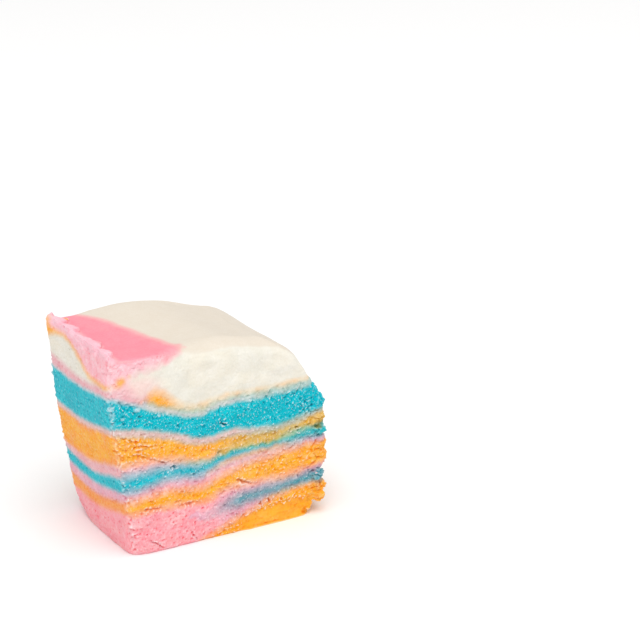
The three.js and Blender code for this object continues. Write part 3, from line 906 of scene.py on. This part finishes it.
# The white of sugar grains and frosting, and of the painted highlight on crests and flakes.
SUGAR_AND_HIGHLIGHT_WHITE = (0.94, 0.89, 0.90, 1)
KNIFE_SMEAR = (0.86, 0.62, 0.60, 1)
CRYSTAL_BUMP = 0.10
FINE_BUMP = 0.012


def add(tree, kind, inputs=(), **settings):
    """Adds a shader node, and fills its inputs with values or with the sockets that feed them."""
    made = tree.nodes.new(kind)
    for name, value in settings.items():
        setattr(made, name, value)
    for key, value in dict(inputs).items():
        if isinstance(value, bpy.types.NodeSocket):
            tree.links.new(value, made.inputs[key])
        else:
            made.inputs[key].default_value = value
    return made


def blend(tree, amount, low, high):
    """Mixes two colours by an amount, each of the three a value or a socket."""
    mixer = add(tree, "ShaderNodeMix", data_type="RGBA")
    for socket, value in zip((mixer.inputs[0], mixer.inputs[6], mixer.inputs[7]), (amount, low, high)):
        if isinstance(value, bpy.types.NodeSocket):
            tree.links.new(value, socket)
        else:
            socket.default_value = value
    return mixer.outputs[2]


def math_node(tree, operation, *values):
    """A math node over values or sockets."""
    return add(tree, "ShaderNodeMath", enumerate(values), operation=operation).outputs[0]


def product(tree, first, second):
    """The product of two values or sockets."""
    return math_node(tree, "MULTIPLY", first, second)


def ramp(tree, value, low, high, start=0.0, end=1.0):
    """Smoothly maps a value from low..high to start..end."""
    inputs = {0: value, 1: low, 2: high, 3: start, 4: end}
    return add(tree, "ShaderNodeMapRange", inputs, interpolation_type="SMOOTHSTEP").outputs[0]


def grains(tree, place, per_mm, detail, roughness=0.5):
    """Noise with this many grains to a millimetre."""
    inputs = {0: place, "Scale": per_mm, "Detail": detail, "Roughness": roughness}
    return add(tree, "ShaderNodeTexNoise", inputs).outputs[0]


def skin_marks(group):
    """The marks that the skin's points carry, each as a socket."""
    kept = {name: add(group, "ShaderNodeAttribute", attribute_name=name).outputs for name in MARKS}
    faces = add(group, "ShaderNodeSeparateColor", {0: kept["faces"]["Color"]}).outputs
    return {
        "tint": kept["tint"]["Color"], "core": kept["tint"]["Alpha"],
        "relief": kept["relief"]["Fac"], "bedded": kept["bedded"]["Vector"],
        "cut": faces[0], "poured": faces[1], "frost_and_flake_highlight": faces[2], "bare": kept["faces"]["Alpha"],
    }


def streaked(group, given, marks):
    """The candy's own colour with its streaks, and the melted colour near another layer."""
    along = add(group, "ShaderNodeMapping", {0: marks["bedded"], 3: STREAK_SHAPE}).outputs[0]
    streak = ramp(group, grains(group, along, 1.0, 3.0), 0.42, 0.66)
    colour = blend(group, product(group, streak, given["Streak share"]), given["Colour"], given["Streak"])
    return blend(group, marks["core"], marks["tint"], colour)


def shaded_in_pits(group, given, marks, place, colour):
    """Darkens and deepens a colour in the hollows as painted shade, and lets it vary a little from grain to
    grain.
    """
    # Painted shade: the colour is darkened and deepened where the skin lies below its surroundings.
    hollow = ramp(group, marks["relief"], -0.02, -0.22)
    purity = math_node(group, "MULTIPLY_ADD", marks["core"], 0.6, 0.4)
    depth = math_node(group, "MULTIPLY_ADD", hollow, product(group, given["Pit shade strength"], purity), 1.0)
    unpoured = math_node(group, "MULTIPLY_ADD", marks["poured"], -0.7, 1.0)
    mottle = ramp(group, grains(group, place, 0.45, 4.0), 0.35, 0.65, -0.08, 0.12)
    depth = math_node(group, "ADD", depth, product(group, mottle, unpoured))
    smeared = math_node(group, "MULTIPLY_ADD", marks["cut"], 0.7, 0.3)
    grain = ramp(group, grains(group, place, 2.6, 3.0, 0.8), 0.36, 0.64, -0.16, 0.20)
    depth = math_node(group, "ADD", depth, product(group, grain, smeared))
    return add(group, "ShaderNodeGamma", {0: colour, 1: depth}).outputs[0]


def smoothness_of(group, marks):
    """How smooth the skin is: fully where poured, in part where cut by the knife or bare."""
    smoothness = math_node(group, "ADD", product(group, marks["cut"], 0.65), marks["poured"])
    return math_node(group, "ADD", smoothness, product(group, marks["bare"], 0.8))


def sugared_and_highlit(group, given, marks, place, crystals, sugary, colour):
    """Pales a colour with sugar grains, cloudy blotches and sugar frosting on the edges and the lip, and
    with painted highlight on the raised crests and on the flakes.
    """
    speck = product(group, ramp(group, crystals, 0.60, 0.66), 0.8)
    # Painted highlight: raised crests are paled as if lit from above.
    raised = ramp(group, marks["relief"], 0.05, 0.14)
    blotches = ramp(group, grains(group, place, 1.0, 3.0, 0.75), 0.48, 0.66)
    pale = math_node(group, "MAXIMUM", speck, raised)
    pale = math_node(group, "MAXIMUM", pale, product(group, blotches, given["Blotches"]))
    # The sugar frosting of edge and lip, and the painted highlight of the flakes.
    frosted_and_highlit = product(group, marks["frost_and_flake_highlight"], ramp(group, crystals, 0.35, 0.6, 0.25, 0.75))
    pale = math_node(group, "MAXIMUM", product(group, pale, sugary), frosted_and_highlit)
    colour = blend(group, pale, colour, blend(group, 0.75, colour, SUGAR_AND_HIGHLIGHT_WHITE))
    return blend(group, product(group, marks["cut"], 0.03), colour, KNIFE_SMEAR)


def paste_group():
    """Colour, roughness and height of the sugar paste, from its own colour and the skin's marks."""
    group = bpy.data.node_groups.new("sugar_paste", "ShaderNodeTree")
    for name, kind, direction in (
        ("Colour", "NodeSocketColor", "INPUT"), ("Streak", "NodeSocketColor", "INPUT"),
        ("Streak share", "NodeSocketFloat", "INPUT"), ("Sugar", "NodeSocketFloat", "INPUT"),
        ("Pit shade strength", "NodeSocketFloat", "INPUT"), ("Blotches", "NodeSocketFloat", "INPUT"),
        ("Colour", "NodeSocketColor", "OUTPUT"), ("Roughness", "NodeSocketFloat", "OUTPUT"),
        ("Height", "NodeSocketFloat", "OUTPUT"),
    ):
        group.interface.new_socket(name, in_out=direction, socket_type=kind)
    given = add(group, "NodeGroupInput").outputs
    marks = skin_marks(group)
    place = add(group, "ShaderNodeTexCoord").outputs["Object"]
    place = add(group, "ShaderNodeVectorMath", {0: place, 3: 1 / MM}, operation="SCALE").outputs[0]
    smoothness = smoothness_of(group, marks)
    crystals = grains(group, place, 3.4, 3.0, 0.75)
    sugary = product(group, given["Sugar"], math_node(group, "SUBTRACT", 1.0, smoothness))
    sugary = add(group, "ShaderNodeClamp", {0: sugary}).outputs[0]
    colour = shaded_in_pits(group, given, marks, place, streaked(group, given, marks))
    colour = sugared_and_highlit(group, given, marks, place, crystals, sugary, colour)
    rough = ramp(group, smoothness, 0.0, 1.0, 0.78, 0.5)
    height = product(group, crystals, product(group, sugary, CRYSTAL_BUMP))
    fine = product(group, grains(group, place, 6.0, 2.0), FINE_BUMP)
    height = math_node(group, "ADD", height, fine)
    add(group, "NodeGroupOutput", {"Colour": colour, "Roughness": rough, "Height": height})
    return group


PASTE = paste_group()
# The pit shade value of each colour sets how strongly painted shade darkens its pits.
CANDIES = {
    "pink": {
        "streak": (0.99, 0.52, 0.52), "streak_share": 0.4,
        "sugar": 0.7, "pit_shade_strength": 1.3, "blotches": 0.45, "shine": 0.3,
    },
    "mauve": {
        "streak": (0.9, 0.5, 0.45), "streak_share": 0.4,
        "sugar": 0.7, "pit_shade_strength": 1.1, "blotches": 0.35, "shine": 0.3,
    },
    "white": {
        "streak": (0.93, 0.85, 0.70), "streak_share": 0.3,
        "sugar": 0.3, "pit_shade_strength": 0.8, "blotches": 0.2, "shine": 0.3,
    },
    "orange": {
        "streak": (0.96, 0.50, 0.12), "streak_share": 0.35,
        "sugar": 0.6, "pit_shade_strength": 0.4, "blotches": 0.25, "shine": 0.25,
    },
    "turquoise": {
        "streak": (0.02, 0.48, 0.60), "streak_share": 0.3,
        "sugar": 0.8, "pit_shade_strength": 1.1, "blotches": 0.0, "shine": 0.12,
    },
    "teal": {
        "streak": (0.42, 0.46, 0.50), "streak_share": 0.4,
        "sugar": 0.9, "pit_shade_strength": 0.9, "blotches": 0.1, "shine": 0.12,
    },
}


def candy(name, colour, streak, streak_share, sugar, pit_shade_strength, blotches, shine):
    """A candy colour with its own streaks, as a matt sugary paste."""
    material = bpy.data.materials.new(name)
    material.use_nodes = True
    tree = material.node_tree
    shader = tree.nodes["Principled BSDF"]
    paste = add(tree, "ShaderNodeGroup", node_tree=PASTE)
    paste.inputs["Colour"].default_value = (*colour, 1)
    paste.inputs["Streak"].default_value = (*streak, 1)
    paste.inputs["Streak share"].default_value = streak_share
    paste.inputs["Sugar"].default_value = sugar
    paste.inputs["Pit shade strength"].default_value = pit_shade_strength
    paste.inputs["Blotches"].default_value = blotches
    bump = add(tree, "ShaderNodeBump", {"Height": paste.outputs["Height"], "Distance": MM, "Strength": 1.0})
    tree.links.new(paste.outputs["Colour"], shader.inputs["Base Color"])
    tree.links.new(paste.outputs["Roughness"], shader.inputs["Roughness"])
    tree.links.new(bump.outputs[0], shader.inputs["Normal"])
    shader.inputs["Specular IOR Level"].default_value = shine
    return material


materials = {name: candy(name + "_candy", COLOURS[name], **look) for name, look in CANDIES.items()}
for name, piece in pieces.items():
    piece.data.materials.clear()
    piece.data.materials.append(materials[CANDY[name]])

# The stage: a white sheet, a large soft key high in front, a weak fill from the left and an even
# white sky. Places and sides are in metres, and lamp powers in watts.
SHEET_SIDE = 6
SHEET_WHITE = (0.99, 0.985, 0.98, 1)
KEY = {"place": (-0.3, -1.25, 2.9), "side": 2.6, "power": 64}
FILL = {"place": (-1.5, -0.7, 0.9), "side": 1.2, "power": 1.2}
AIM = (0, 0, 0.02)
SKY = 0.62
bpy.ops.mesh.primitive_plane_add(size=SHEET_SIDE)
ground = bpy.context.object
ground.name = "ground"
sheet_paper = bpy.data.materials.new("white_sheet")
sheet_paper.use_nodes = True
paper = sheet_paper.node_tree.nodes["Principled BSDF"].inputs
paper["Base Color"].default_value = SHEET_WHITE
paper["Roughness"].default_value = 0.9
paper["Specular IOR Level"].default_value = 0.1
ground.data.materials.append(sheet_paper)


def soft_box(name, place, side, power):
    """A square lamp that faces the slice."""
    lamp = bpy.data.objects.new(name, bpy.data.lights.new(name, "AREA"))
    bpy.context.scene.collection.objects.link(lamp)
    lamp.location = place
    lamp.data.size = side
    lamp.data.energy = power
    lamp.rotation_euler = (Vector(AIM) - Vector(place)).to_track_quat("-Z", "Y").to_euler()


soft_box("key", **KEY)
soft_box("fill", **FILL)
world = bpy.data.worlds.new("white_room")
bpy.context.scene.world = world
world.use_nodes = True
world.node_tree.nodes["Background"].inputs[0].default_value = (1, 1, 1, 1)
world.node_tree.nodes["Background"].inputs[1].default_value = SKY
bpy.context.scene.view_settings.view_transform = "Standard"

# The camera stands where the photograph's did: low, in front of the near left corner, and turned
# and raised so that it looks down on the slice at the same angle.
CAMERA_PLACE = (-0.13597, -0.26805, 0.1343)
CAMERA_TURN = math.radians(-31.4)
CAMERA_RISE = math.radians(18.0)
LENS = 100
SENSOR_WIDTH = 36
camera = bpy.data.objects.new("camera", bpy.data.cameras.new("camera"))
bpy.context.scene.collection.objects.link(camera)
camera.data.lens = LENS
camera.data.sensor_width = SENSOR_WIDTH
camera.data.clip_start = 0.01
camera.location = CAMERA_PLACE
back = Vector((
    math.sin(CAMERA_TURN) * math.cos(CAMERA_RISE),
    -math.cos(CAMERA_TURN) * math.cos(CAMERA_RISE),
    math.sin(CAMERA_RISE),
))
camera.rotation_euler = (-back).to_track_quat("-Z", "Y").to_euler()
bpy.context.scene.camera = camera
